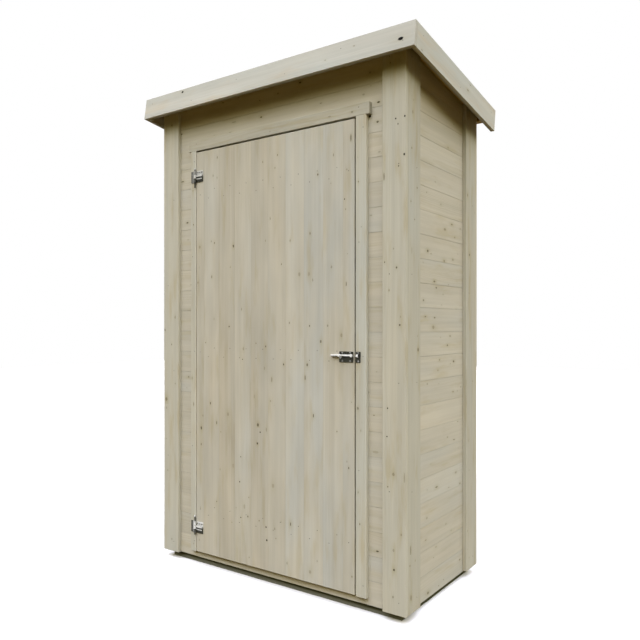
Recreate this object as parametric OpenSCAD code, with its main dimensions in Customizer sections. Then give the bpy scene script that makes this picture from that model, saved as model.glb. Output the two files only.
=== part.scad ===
// Narrow garden tool shed in untreated spruce: boarded walls on a small frame,
// one ledged and braced door, and a single-pitch roof that falls to the back.
// Millimetres. +X is to the right of someone facing the door, -Y is the front,
// +Z is up, and the origin is on the ground at the middle of the walls.

/* [Walls] */
// Width over the faces of the wall boards
body_w = 1202; // [1100:1:1500]
// Depth over the faces of the wall boards
body_d = 606; // [520:1:900]
// Height of the front wall, from the ground to the underside of the roof boards
front_h = 2035; // [1800:1:2300]
// Height of the bottom edge of the wall boards above the ground
wall_z = 30; // [15:1:36]
// How much lower than that the side walls' boards reach
side_wall_drop = 4; // [0:0.5:10]
// Thickness of the wall boards
wall_t = 16; // [12:1:28]
// Pitch of the roof, falling to the back, in degrees
roof_slope = 8.3; // [4:0.1:15]

/* [Base and frame] */
// Height of the bearers
bearer_h = 40; // [38:1:70]
// Width of the bearers
bearer_w = 40; // [30:1:60]
// Thickness of the floor boards
floor_t = 18; // [15:1:28]
// Side of the square posts inside the walls
post = 40; // [30:1:45]
// How far the door posts and head rail stand into the doorway, as a stop
stop_lap = 15; // [8:1:20]

/* [Corner trims] */
// Width of a corner trim board
trim_w = 94; // [60:1:110]
// Thickness of a corner trim board
trim_t = 17; // [12:1:22]

/* [Doorway] */
// Clear width between the two casings
doorway_w = 825; // [700:1:850]
// Shift of the doorway to the right of the middle
doorway_x = 0.5; // [-10:0.5:10]
// Height of the top of the sill above the ground
sill_z = 55; // [50:1:58]
// Height of the front wall above the doorway
head_h = 228; // [120:1:300]
// Width of the casing on the bolt side
casing_w = 44; // [30:1:60]
// Width of the casing on the hinge side
hinge_casing_w = 30; // [28:1:50]
// Thickness of the casings and the header board
casing_t = 17; // [15:1:22]
// Height of the bottom ends of the casings above the sill
casing_lift = 2; // [0:0.5:5]
// Height of the header board
header_h = 44; // [30:1:90]
// How far the header board runs past the casings at each end
header_past = 13; // [0:1:20]

/* [Door] */
// Thickness of the door boards
door_t = 17; // [15:1:22]
// Gap between the door and the casing on the hinge side
gap_hinge = 5; // [4:0.5:8]
// Gap between the door and the casing on the bolt side
gap_bolt = 6; // [5.5:0.5:8]
// Gap above the door
gap_top = 7.5; // [5:0.5:10]
// Gap below the door
gap_bottom = 5; // [5:0.5:10]
// Width of a ledge
ledge_w = 94; // [70:1:110]
// Thickness of a ledge and a brace
ledge_t = 17; // [14:1:22]
// Clear distance from the ends of the ledges to the door posts
ledge_clear = 8; // [6:1:30]
// Distance from the top or bottom of the door to the nearest ledge
ledge_inset = 140; // [80:1:200]
// Width of a diagonal brace
brace_w = 70; // [50:1:94]

/* [Hinges] */
// Height of a hinge leaf
leaf_h = 50; // [35:1:70]
// Thickness of a hinge leaf
leaf_t = 2; // [1.5:0.1:3]
// Width of the leaf on the door, from the pin
door_leaf_w = 45; // [30:1:60]
// Width of the leaf on the casing, from the pin
frame_leaf_w = 27; // [20:1:32]
// Diameter of the hinge pin
pin_d = 6; // [4:0.1:8]
// Outer diameter of the rolled knuckles
knuckle_d = 11; // [10:0.1:14]
// Length of the hinge pin
pin_l = 86; // [70:1:110]
// How far the top hinge's pin sits below the middle of its leaves
top_pin_drop = 5; // [0:0.5:8]
// How far the bottom hinge's pin sits above the middle of its leaves
bottom_pin_rise = 9; // [0:0.5:9]
// Distance from the top or bottom of the door to the middle of a hinge
hinge_inset = 106; // [60:1:200]
// Radial clearance of the pin in the knuckle of the door leaf
pin_clear = 0.3; // [0.1:0.05:0.5]
// Gap between neighbouring knuckles
knuckle_gap = 0.5; // [0.3:0.1:1]

/* [Barrel bolt] */
// Height of the bolt above the middle of the door
bolt_lift = -1.25; // [-100:0.25:100]
// Width of the bolt's back plate
plate_w = 62; // [50:1:80]
// Height of the bolt's back plate and keeper
plate_h = 40; // [30:1:60]
// Thickness of the back plate and the keeper
plate_t = 1.5; // [1:0.1:2.5]
// Distance from the edge of the door to the back plate
plate_inset = 4; // [1:0.5:10]
// Diameter of the sliding bar
bar_d = 8; // [6:0.1:10]
// Length of the sliding bar
bar_l = 95; // [80:1:120]
// Distance from the back plate to the axis of the bar
bar_off = 5; // [4.5:0.1:8]
// Height of the bar's axis above the middle of the plate
bar_rise = 5; // [0:0.5:6]
// Distance the bar is drawn back from the edge of the door at rest
bar_back = 4; // [2:0.5:8]
// Radial clearance of the bar in its guides and keeper
bar_clear = 0.6; // [0.3:0.1:1]
// Thickness of the guide straps round the bar
strap_t = 1.5; // [1:0.1:2.5]
// Width of a guide strap
strap_w = 9; // [6:0.5:12]
// Width of the keeper
keeper_w = 20; // [14:1:28]
// Distance from the edge of the casing to the keeper
keeper_inset = 1; // [0:0.5:4]
// Diameter of the bolt's knob
knob_d = 7; // [5:0.5:9]
// Length of the bolt's knob
knob_l = 17; // [12:1:24]

/* [Roof] */
// Distance along the slope from the front wall to the outer face of the front fascia
front_overhang = 69; // [50:1:120]
// Distance along the slope from the rear wall to the rear edge of the roof
rear_overhang = 67; // [50:1:120]
// Distance from a side wall to the outer face of the side fascia
side_overhang = 80; // [65:1:120]
// Height of the fascia boards, square to the slope
fascia_h = 92; // [70:1:130]
// Thickness of the fascia boards
fascia_t = 17; // [14:1:22]
// Height of the fascias' top edges above the roof boards
fascia_up = 10; // [6:1:20]
// Thickness of the roof boards
deck_t = 16; // [12:1:22]
// Thickness of the roofing felt
felt_t = 2.5; // [1.5:0.1:4]
// Length of the felt that is turned down over the rear edge
felt_drop = 30; // [20:1:60]
// Gap between the tops of the walls and the roof boards
roof_seat = 0.2; // [0.1:0.1:0.5]
// Width of the rails under the edges of the roof
rail_w = 28; // [15:1:30]
// Height of the rails under the edges of the roof
rail_h = 20; // [15:1:30]

/* [Hidden] */
$fn = 48;

wood = [0.72, 0.69, 0.60];
trim_wood = [0.74, 0.71, 0.63];
fascia_wood = [0.77, 0.76, 0.69];
raw_wood = [0.70, 0.62, 0.48];
green_wood = [0.27, 0.29, 0.22];
zinc = [0.72, 0.74, 0.76];
felt = [0.17, 0.18, 0.18];

// Planes of the walls: outer and inner faces, and the outer face of the trims.
half_w = body_w / 2;
half_d = body_d / 2;
in_w = half_w - wall_t;
in_d = half_d - wall_t;
face_w = half_w + trim_t;
face_d = half_d + trim_t;
floor_z = bearer_h + floor_t;

// The doorway, and the door that hangs in it.
way_l = doorway_x - doorway_w / 2;
way_r = doorway_x + doorway_w / 2;
doorway_top = front_h - head_h;
casing_z = sill_z + casing_lift;
door_l = way_l + gap_hinge;
door_r = way_r - gap_bolt;
door_z0 = sill_z + gap_bottom;
door_z1 = doorway_top - gap_top;
front_y = -half_d - casing_t;
door_back = front_y + door_t;
post_l = way_l + stop_lap;
post_r = way_r - stop_lap;

// Ledges on the back of the door.
ledge_l = post_l + ledge_clear;
ledge_r = post_r - ledge_clear;
ledge_zs = [door_z0 + ledge_inset,
    (door_z0 + door_z1 - ledge_w) / 2,
    door_z1 - ledge_inset - ledge_w];
// The foot and the head of a brace stand this far in from the ledges' ends.
brace_inset = 30;

// The hinges turn about one upright line in front of the side of the doorway.
pin_x = way_l;
pin_y = front_y - knuckle_d / 2;
knuckle_h = leaf_h / 3;
top_hinge_z = door_z1 - hinge_inset;
bottom_hinge_z = door_z0 + hinge_inset;

// The barrel bolt.
plate_x = door_r - plate_inset - plate_w;
bar_y = front_y - plate_t - bar_off;
bolt_z = (door_z0 + door_z1) / 2 + bolt_lift;
bar_z = bolt_z + bar_rise;
bar_x = door_r - bar_back - bar_l;
strap_r = bar_d / 2 + bar_clear;
knob_x = plate_x + strap_w + knob_d;
knob_drop = 35;

// The roof is drawn level and then tipped about the top of the front wall.
roof_w = half_w + side_overhang - fascia_t;
roof_v0 = -front_overhang + fascia_t;
roof_v1 = body_d / cos(roof_slope) + rear_overhang;
fascia_n = deck_t + fascia_up - fascia_h;

// Height of what stands under the roof boards at a distance y from the middle.
function roof_z(y) = front_h - roof_seat - (y + half_d) * tan(roof_slope);

// A box between two opposite corners.
module block(low, high) {
    translate(low) cube(high - low);
}

// A board or post that stands at z0 and is cut to the slope of the roof.
module upright(x0, x1, y0, y1, z0) {
    translate([x0, 0, 0]) rotate([90, 0, 90]) linear_extrude(x1 - x0)
        polygon([[y0, z0], [y1, z0], [y1, roof_z(y1)], [y0, roof_z(y0)]]);
}

// Tips its children from the level to the slope of the roof.
module on_slope() {
    translate([0, -half_d, front_h]) rotate([-roof_slope, 0, 0]) children();
}

// ---- base ----

module front_bearer() {
    color(green_wood) block([-in_w, -in_d, 0], [in_w, -in_d + bearer_w, bearer_h]);
}

module rear_bearer() {
    color(green_wood) block([-in_w, in_d - bearer_w, 0], [in_w, in_d, bearer_h]);
}

module cross_bearers() {
    reach = in_d - bearer_w;
    color(green_wood) for (x = [-in_w, -bearer_w / 2, in_w - bearer_w])
        block([x, -reach, 0], [x + bearer_w, reach, bearer_h]);
}

module floor_boards() {
    color(raw_wood) block([-in_w, -in_d, bearer_h], [in_w, in_d, floor_z]);
}

// ---- walls ----

module front_wall_sill() {
    color(wood) block([way_l, -half_d, wall_z], [way_r, -in_d, sill_z]);
}

module front_wall_left() {
    color(wood) upright(-half_w, way_l, -half_d, -in_d, wall_z);
}

module front_wall_right() {
    color(wood) upright(way_r, half_w, -half_d, -in_d, wall_z);
}

module front_wall_head() {
    color(wood) upright(way_l, way_r, -half_d, -in_d, doorway_top);
}

module rear_wall() {
    color(wood) upright(-half_w, half_w, in_d, half_d, wall_z);
}

module left_wall() {
    color(wood) upright(-half_w, -in_w, -in_d, in_d, wall_z - side_wall_drop);
}

module right_wall() {
    color(wood) upright(in_w, half_w, -in_d, in_d, wall_z - side_wall_drop);
}

// ---- frame inside the walls ----

module front_posts() {
    color(raw_wood) for (x = [-in_w, in_w - post])
        upright(x, x + post, -in_d, -in_d + post, floor_z);
}

module rear_posts() {
    color(raw_wood) for (x = [-in_w, -post / 2, in_w - post])
        upright(x, x + post, in_d - post, in_d, floor_z);
}

module door_posts() {
    color(raw_wood) {
        upright(post_l - post, post_l, -in_d, -in_d + post, floor_z);
        upright(post_r, post_r + post, -in_d, -in_d + post, floor_z);
    }
}

module head_rail() {
    z0 = doorway_top - stop_lap;
    color(raw_wood) block([post_l, -in_d, z0], [post_r, -in_d + post, z0 + post]);
}

// ---- corner trims, two boards to a corner ----

module front_left_trim() {
    color(trim_wood) upright(-face_w, -face_w + trim_w, -face_d, -half_d, wall_z);
}

module front_right_trim() {
    color(trim_wood) upright(face_w - trim_w, face_w, -face_d, -half_d, wall_z);
}

module rear_left_trim() {
    color(trim_wood) upright(-face_w, -face_w + trim_w, half_d, face_d, wall_z);
}

module rear_right_trim() {
    color(trim_wood) upright(face_w - trim_w, face_w, half_d, face_d, wall_z);
}

module left_front_trim() {
    color(trim_wood) upright(-face_w, -half_w, -half_d, -half_d + trim_w, wall_z);
}

module left_rear_trim() {
    color(trim_wood) upright(-face_w, -half_w, half_d - trim_w, half_d, wall_z);
}

module right_front_trim() {
    color(trim_wood) upright(half_w, face_w, -half_d, -half_d + trim_w, wall_z);
}

module right_rear_trim() {
    color(trim_wood) upright(half_w, face_w, half_d - trim_w, half_d, wall_z);
}

// ---- casings round the door ----

module left_casing() {
    color(trim_wood) block([way_l - hinge_casing_w, front_y, casing_z],
        [way_l, -half_d, doorway_top]);
}

module right_casing() {
    color(trim_wood) block([way_r, front_y, casing_z],
        [way_r + casing_w, -half_d, doorway_top]);
}

module header_board() {
    color(trim_wood)
        block([way_l - hinge_casing_w - header_past, front_y, doorway_top],
            [way_r + casing_w + header_past, -half_d, doorway_top + header_h]);
}

// ---- door ----

module door_boards() {
    color(wood) block([door_l, front_y, door_z0], [door_r, door_back, door_z1]);
}

module door_ledges() {
    color(raw_wood) for (z = ledge_zs)
        block([ledge_l, door_back, z], [ledge_r, door_back + ledge_t, z + ledge_w]);
}

module door_braces() {
    foot = ledge_l + brace_inset;
    head = ledge_r - brace_inset - brace_w;
    color(raw_wood) for (i = [0, 1])
        translate([0, door_back + ledge_t, 0]) rotate([90, 0, 0]) linear_extrude(ledge_t)
            polygon([[foot, ledge_zs[i] + ledge_w], [foot + brace_w, ledge_zs[i] + ledge_w],
                [head + brace_w, ledge_zs[i + 1]], [head, ledge_zs[i + 1]]]);
}

// ---- hinges ----

// A length of the hinge line, between two heights.
module roll(z0, z1, d) {
    translate([pin_x, pin_y, z0]) cylinder(h = z1 - z0, d = d);
}

// The leaf on the casing: its flat, its two knuckles and the fixed pin, with its middle at pin_z.
module frame_leaf(z, pin_z) {
    low = z - leaf_h / 2;
    high = z + leaf_h / 2;
    edge = pin_x - knuckle_d / 2 - knuckle_gap;
    color(zinc) {
        block([pin_x - frame_leaf_w, front_y - leaf_t, low], [edge, front_y, high]);
        for (z0 = [low, high - knuckle_h]) {
            block([edge, front_y - leaf_t, z0], [pin_x, front_y, z0 + knuckle_h]);
            roll(z0, z0 + knuckle_h, knuckle_d);
        }
        roll(pin_z - pin_l / 2, pin_z + pin_l / 2, pin_d);
    }
}

// The leaf on the door: its flat and the middle knuckle, which turns on the pin.
module door_leaf(z) {
    low = z - leaf_h / 2;
    high = z + leaf_h / 2;
    edge = pin_x + knuckle_d / 2 + knuckle_gap;
    z0 = low + knuckle_h + knuckle_gap;
    z1 = high - knuckle_h - knuckle_gap;
    color(zinc) difference() {
        union() {
            block([edge, front_y - leaf_t, low], [pin_x + door_leaf_w, front_y, high]);
            block([pin_x, front_y - leaf_t, z0], [edge, front_y, z1]);
            roll(z0, z1, knuckle_d);
        }
        roll(low, high, pin_d + 2 * pin_clear);
    }
}

module top_hinge_frame_leaf() frame_leaf(top_hinge_z, top_hinge_z - top_pin_drop);

module top_hinge_door_leaf() door_leaf(top_hinge_z);

module bottom_hinge_frame_leaf() frame_leaf(bottom_hinge_z, bottom_hinge_z + bottom_pin_rise);

module bottom_hinge_door_leaf() door_leaf(bottom_hinge_z);

// ---- barrel bolt ----

// A strap bent over the bar, from its feet on the plate, starting at x.
module strap(x) {
    translate([x, bar_y, bar_z]) rotate([90, 0, 90]) linear_extrude(strap_w)
        difference() {
            union() {
                circle(r = strap_r + strap_t);
                translate([0, -strap_r - strap_t]) square([bar_off, 2 * (strap_r + strap_t)]);
            }
            circle(r = strap_r);
            translate([0, -strap_r]) square([bar_off, 2 * strap_r]);
        }
}

// A flat plate on the front of the door or casing.
module back_plate(x, w) {
    block([x, front_y - plate_t, bolt_z - plate_h / 2], [x + w, front_y, bolt_z + plate_h / 2]);
}

module bolt_plate() {
    color(zinc) {
        back_plate(plate_x, plate_w);
        strap(plate_x);
        strap(plate_x + plate_w - strap_w);
    }
}

module bolt_keeper() {
    x = way_r + keeper_inset;
    color(zinc) {
        back_plate(x, keeper_w);
        strap(x + (keeper_w - strap_w) / 2);
    }
}

module bolt_bar() {
    color(zinc) {
        translate([bar_x, bar_y, bar_z]) rotate([0, 90, 0]) cylinder(h = bar_l, d = bar_d);
        translate([knob_x, bar_y, bar_z]) rotate([90 + knob_drop, 0, 0])
            cylinder(h = knob_l, d = knob_d);
    }
}

// ---- roof ----

module roof_boards() {
    color(raw_wood) on_slope() block([-roof_w, roof_v0, 0], [roof_w, roof_v1, deck_t]);
}

// The felt lies on the boards and turns down over their rear edge.
module roof_felt() {
    color(felt) on_slope() {
        block([-roof_w, roof_v0, deck_t], [roof_w, roof_v1, deck_t + felt_t]);
        block([-roof_w, roof_v1, deck_t - felt_drop], [roof_w, roof_v1 + felt_t, deck_t + felt_t]);
    }
}

module cross_rails() {
    color(raw_wood) on_slope() for (v = [roof_v0, roof_v1 - rail_w])
        block([-roof_w, v, -rail_h], [roof_w, v + rail_w, 0]);
}

module side_rails() {
    color(raw_wood) on_slope() for (x = [-roof_w, roof_w - rail_w])
        block([x, roof_v0 + rail_w, -rail_h], [x + rail_w, roof_v1 - rail_w, 0]);
}

module front_fascia() {
    color(fascia_wood) on_slope() block([-roof_w - fascia_t, roof_v0 - fascia_t, fascia_n],
        [roof_w + fascia_t, roof_v0, fascia_n + fascia_h]);
}

// A side fascia whose inner face is at x, with its outer face at x + t.
module side_fascia(x, t) {
    color(fascia_wood) on_slope() block([min(x, x + t), roof_v0, fascia_n],
        [max(x, x + t), roof_v1, fascia_n + fascia_h]);
}

module left_fascia() side_fascia(-roof_w, -fascia_t);

module right_fascia() side_fascia(roof_w, fascia_t);

front_bearer();
rear_bearer();
cross_bearers();
floor_boards();
front_wall_sill();
front_wall_left();
front_wall_right();
front_wall_head();
left_wall();
right_wall();
rear_wall();
front_posts();
rear_posts();
door_posts();
head_rail();
front_left_trim();
front_right_trim();
left_front_trim();
left_rear_trim();
right_front_trim();
right_rear_trim();
rear_left_trim();
rear_right_trim();
left_casing();
right_casing();
header_board();
door_boards();
door_ledges();
door_braces();
top_hinge_frame_leaf();
top_hinge_door_leaf();
bottom_hinge_frame_leaf();
bottom_hinge_door_leaf();
bolt_plate();
bolt_bar();
bolt_keeper();
roof_boards();
roof_felt();
cross_rails();
side_rails();
front_fascia();
left_fascia();
right_fascia();
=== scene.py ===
import math

import bpy
import numpy as np
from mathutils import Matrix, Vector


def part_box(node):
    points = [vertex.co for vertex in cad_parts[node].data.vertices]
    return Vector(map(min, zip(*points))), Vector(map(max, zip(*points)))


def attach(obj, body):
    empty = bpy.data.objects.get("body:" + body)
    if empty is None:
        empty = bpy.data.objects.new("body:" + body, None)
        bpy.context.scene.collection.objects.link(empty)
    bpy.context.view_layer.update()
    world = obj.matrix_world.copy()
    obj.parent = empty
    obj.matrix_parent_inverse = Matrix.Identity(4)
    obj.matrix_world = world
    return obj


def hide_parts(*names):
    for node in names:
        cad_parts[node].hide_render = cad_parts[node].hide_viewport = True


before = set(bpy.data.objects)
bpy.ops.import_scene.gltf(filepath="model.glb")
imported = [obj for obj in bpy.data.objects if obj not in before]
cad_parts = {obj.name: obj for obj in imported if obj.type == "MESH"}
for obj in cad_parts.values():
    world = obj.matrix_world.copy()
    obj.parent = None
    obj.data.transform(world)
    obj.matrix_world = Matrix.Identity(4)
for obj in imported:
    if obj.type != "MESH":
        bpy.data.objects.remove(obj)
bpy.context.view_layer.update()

right, back, top = np.eye(3)      # +X, +Y and +Z


def corners(node):
    # Lowest and highest corner of a CAD node, as arrays.
    low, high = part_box(node)
    return np.array(low), np.array(high)


def faceOf(low, high, out):
    # The axis that a box's outer face looks along, and the face's place on it.
    axis = int(np.argmax(np.abs(out)))
    return axis, (high if out[axis] > 0 else low)[axis]


def atEnds(low, high, wide):
    # Two spans of one width, at either end of a stretch.
    return [(low, low + wide), (high - wide, high)]


def evenSpans(low, high, cover):
    # A stretch shared out evenly, as near to the cover as a whole number of boards comes.
    count = round((high - low) / cover)
    return [low + (high - low) * np.array([i, i + 1]) / count for i in range(count)]


def pieceName(node):
    # front_left_trim becomes frontLeftTrim.
    first, *rest = node.split("_")
    return first + "".join(word.capitalize() for word in rest)


# The slope of the roof, from how far the tops of the walls fall between front and back.
sideLow, sideHigh = corners("left_wall")
rearLow, rearHigh = corners("rear_wall")
roofFall = (sideHigh[2] - rearHigh[2]) / (sideHigh[1] - sideLow[1])
roofAngle = math.atan(roofFall)
downSlope = np.array([0, math.cos(roofAngle), -math.sin(roofAngle)])
offSlope = np.array([0, math.sin(roofAngle), math.cos(roofAngle)])


def roofHeight(y):
    # Height of the tops of the walls at y.
    return rearHigh[2] - (y - rearLow[1]) * roofFall


def underRoof(points):
    # Whatever stands higher than the tops of the walls is cut off to their slope.
    points[..., 2] = np.minimum(points[..., 2], roofHeight(points[..., 1]))
    return points


def slopeBox(node):
    # A tilted box's two corners on the level: its run and rise give its two sides by solving
    # run = long * cos + thick * sin and rise = long * sin + thick * cos.
    low, high = corners(node)
    run, rise = high[1] - low[1], high[2] - low[2]
    cos, sin = math.cos(roofAngle), math.sin(roofAngle)
    long = (run * cos - rise * sin) / (cos * cos - sin * sin)
    thick = (rise * cos - run * sin) / (cos * cos - sin * sin)
    corner = np.array([0, low[1], high[2] - thick * cos]) - roofOrigin
    start = np.array([low[0], corner @ downSlope, corner @ offSlope])
    return start, start + [high[0] - low[0], long, thick]


# Roof pieces are worked out level, as x, distance down the slope and height off the boards. The
# slope starts at the roof boards' own low corner, so they are measured before it and after.
roofOrigin = np.zeros(3)
deckLow, deckHigh = slopeBox("roof_boards")
roofOrigin = deckLow[1] * downSlope + deckLow[2] * offSlope
deckLow, deckHigh = slopeBox("roof_boards")


def tilt(points):
    # From the level to the slope of the roof.
    return (roofOrigin + points[..., :1] * right + points[..., 1:2] * downSlope
            + points[..., 2:] * offSlope)


# Surfaces

def shrink(outline, inset):
    # An outline moved inwards: each point goes along the sum of its two edges' inward normals,
    # divided by one plus their product, which keeps every edge parallel to itself.
    edge = np.roll(outline, -1, 0) - outline
    edge = edge / np.linalg.norm(edge, axis=1, keepdims=True)
    normal = np.stack([-edge[:, 1], edge[:, 0]], 1)
    before = np.roll(normal, 1, 0)
    return outline + inset * (normal + before) / (1 + (normal * before).sum(1, keepdims=True))


def enclosed(points, quads, caps):
    # Six times the volume inside a closed surface, which is negative if it is inside out.
    a, b, c, d = (points[quads[:, i]] for i in range(4))
    total = (a * np.cross(b, c)).sum() + (a * np.cross(c, d)).sum()
    for cap in caps:
        p = points[cap]
        total += (p[0] * np.cross(p[1:-1], p[2:])).sum()
    return total


# Knots on a board: radius and spread of the large and the small ones, how far they keep from
# its ends, its edges and each other, how near its face a chosen one lies, and how a facet picks
# the one that it is told of.
knotShape = {"large": (0.0045, 0.0045), "small": (0.0020, 0.0030), "endGap": 0.015,
             "edgeGap": 0.006, "apart": 0.008, "apartAlong": 0.5, "depth": 0.03,
             "pickAlong": 0.4, "pickExtra": 0.006, "none": (-9.0, 0.0, 0.001)}


class Surface:
    # Gathers the surfaces of one piece, and what the wood finishes read from them.
    def __init__(self):
        self.points, self.faces, self.grain, self.tone = [], [], [], []
        self.joint, self.knot, self.total = [], [], 0

    def loft(self, rings, grain=None, tone=(0, 0, 0), joint=None, knots=()):
        # Rings of points joined by quads; the first and the last ring are closed by a face each.
        rows, around = rings.shape[:2]
        index = np.arange(rows * around).reshape(rows, around)
        after = np.roll(index, -1, 1)
        quads = np.stack([index[:-1], after[:-1], after[1:], index[1:]], -1).reshape(-1, 4)
        caps = [index[0][::-1], index[-1]]
        points = rings.reshape(-1, 3)
        if enclosed(points - points.mean(0), quads, caps) < 0:
            quads, caps = quads[:, ::-1], [cap[::-1] for cap in caps]
        tone = tone(points) if callable(tone) else tone
        grain = points * 0 if grain is None else grain.reshape(-1, 3)
        middle = np.concatenate([grain[quads].mean(1), [grain[cap].mean(0) for cap in caps]])
        k = knotShape
        knot = np.tile(k["none"], (len(middle), 1))
        if len(knots):
            # Each face is told of the one knot that matters most to it.
            knots = np.array(knots)
            away = np.hypot((middle[:, :1] - knots[:, 0]) * k["pickAlong"],
                            middle[:, 1:2] - knots[:, 1])
            knot = knots[(away / (abs(knots[:, 2]) + k["pickExtra"])).argmin(1)]
        self.points.append(points)
        self.faces += (quads + self.total).tolist() + [(cap + self.total).tolist() for cap in caps]
        self.grain.append(grain)
        self.tone.append(np.broadcast_to(np.reshape(tone, (-1, 3)), points.shape))
        self.joint.append(np.zeros(len(points)) if joint is None else joint.ravel())
        self.knot.append(knot)
        self.total += len(points)

    def piece(self, name, body, slot, finish, nodes=(), smooth=30):
        mesh = bpy.data.meshes.new(name)
        mesh.from_pydata(np.concatenate(self.points).tolist(), [], self.faces)
        for label, kind, domain, values in (
                ("grain", "FLOAT_VECTOR", "POINT", self.grain),
                ("tone", "FLOAT_VECTOR", "POINT", self.tone),
                ("joint", "FLOAT", "POINT", self.joint),
                ("knot", "FLOAT_VECTOR", "FACE", self.knot)):
            data = mesh.attributes.new(label, kind, domain).data
            field = "value" if kind == "FLOAT" else "vector"
            data.foreach_set(field, np.concatenate(values).astype(np.float32).ravel())
        mesh.polygons.foreach_set("use_smooth", np.ones(len(mesh.polygons), bool))
        mesh.set_sharp_from_angle(angle=math.radians(smooth))
        mesh.materials.append(finish)
        made = bpy.data.objects.new(name, mesh)
        bpy.context.scene.collection.objects.link(made)
        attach(made, body)
        if nodes:
            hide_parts(*nodes)
        return made


def ringAt(origin, outline, a, b):
    # A flat outline placed at a point, on two directions.
    return origin + outline[:, :1] * a + outline[:, 1:] * b


def addSlab(surface, origin, a, b, outline, thick, tone=(0, 0, 0), arris=0.0003):
    # An outline on a and b, made thick along a x b, with its edges drawn in by the arris.
    out = np.cross(a, b)
    rings = np.stack([ringAt(origin + out * far, shrink(outline, inset), a, b)
                      for far, inset in ((0, arris), (arris, 0), (thick - arris, 0), (thick, arris))])
    surface.loft(rings, tone=tone)


def squareTo(axis, aside=(0.3, 0.5, 0.81)):
    # Two directions that are square to an axis and to each other.
    a = np.cross(axis, aside)
    a = a / np.linalg.norm(a)
    return a, np.cross(axis, a)


def addTurned(surface, origin, axis, profile, tone=(0, 0, 0), sides=20):
    # A surface of revolution: each pair of the profile is a distance along the axis and a radius.
    a, b = squareTo(axis)
    angle = np.linspace(0, 2 * math.pi, sides, endpoint=False)[:, None]
    circle = np.cos(angle) * a + np.sin(angle) * b
    surface.loft(np.stack([origin + axis * far + circle * radius for far, radius in profile]),
                 tone=tone)


def turnedProfile(length, radius, start, end):
    # For addTurned, from pairs of a distance and how much less than the radius it is there. The
    # distances in end are counted back from the end.
    return [*((far, radius - less) for far, less in start),
            *((length - far, radius - less) for far, less in end)]


def arc(x, y, radius, start, stop, steps):
    # Points round a middle, with the angles in degrees.
    angle = np.radians(np.linspace(start, stop, steps))
    return np.stack([x + radius * np.cos(angle), y + radius * np.sin(angle)], 1)


def roundedBox(width, height, radii, steps=5):
    # Outline of a rectangle round its middle, with a quarter circle of its own at each corner.
    points = []
    for i, (x, y) in enumerate(((1, 1), (-1, 1), (-1, -1), (1, -1))):
        points.append(arc(x * (width / 2 - radii[i]), y * (height / 2 - radii[i]), radii[i],
                          90 * i, 90 * (i + 1), steps))
    return np.concatenate(points)


def leftOf(path):
    # Unit directions to the left of a flat path, one at each point.
    ahead = np.gradient(path, axis=0)
    return np.stack([-ahead[:, 1], ahead[:, 0]], 1) / np.linalg.norm(ahead, axis=1, keepdims=True)


def ribbon(path, thick):
    # Outline of a bent strip: its middle line moved half the thickness to either side.
    path = np.concatenate(path)
    side = leftOf(path)
    outline = np.concatenate([path + side * thick / 2, (path - side * thick / 2)[::-1]])
    x, y = outline.T
    return outline if (x * np.roll(y, -1) - np.roll(x, -1) * y).sum() > 0 else outline[::-1]


# Boards

# Lengths in metres, then how much darker or lighter the edges of a face and of a back are.
boardShape = {"arris": 0.0008, "step": 0.03, "column": 0.023, "edgeBand": 0.003,
              "gap": 0.0003, "vee": 0.0005, "tongue": 0.006, "tongueThick": 0.005,
              "play": 0.0003, "sink": 0.0003, "backFlat": 0.001, "freshEdge": 0.9,
              "liftOnFace": 0.8, "plainFace": 0.25, "backEdge": 0.4, "matchedFace": 0.7}


def faceColumns(start, stop):
    # Points across a face: one close to each edge, and evenly between.
    band = min(boardShape["edgeBand"], (stop - start) / 4)
    inner = np.linspace(start + band, stop - band,
                        max(2, round((stop - start) / boardShape["column"])))
    return np.concatenate([[start], inner, [stop]])


def planedProfile(nearLift=0, farLift=0, shaded=0):
    def section(width, thick):
        # Section of a planed board: a rectangle with small flats along its four edges. An edge given
        # a value above zero, where joint is below zero, is a little lighter than the faces: fresh-cut
        # wood, painted light on the side faces of some trims and casings, and a painted highlight on
        # the fascias' lower arris. One given a value below zero is darker, which on the header
        # board's lower edge is painted shade. Shaded paints shade on the near edge, darker towards
        # its back.
        s = boardShape
        c = min(s["arris"], thick / 6, width / 6)
        across = faceColumns(c, width - c)
        near, far = -nearLift * s["freshEdge"], -farLift * s["freshEdge"]
        face = ([far * s["liftOnFace"] if farLift > 0 else s["plainFace"]] + [0] * (len(across) - 2)
                + [near * s["liftOnFace"] if nearLift > 0 else s["plainFace"]])
        points = ([(v, 0) for v in across] + [(width, c), (width, thick - c)]
                  + [(v, thick) for v in across[::-1]] + [(0, thick - c), (0, c)])
        return (np.array(points, float),
                np.array(face[::-1] + [far, far] + face + [near, near + shaded], float))
    return section


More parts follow.
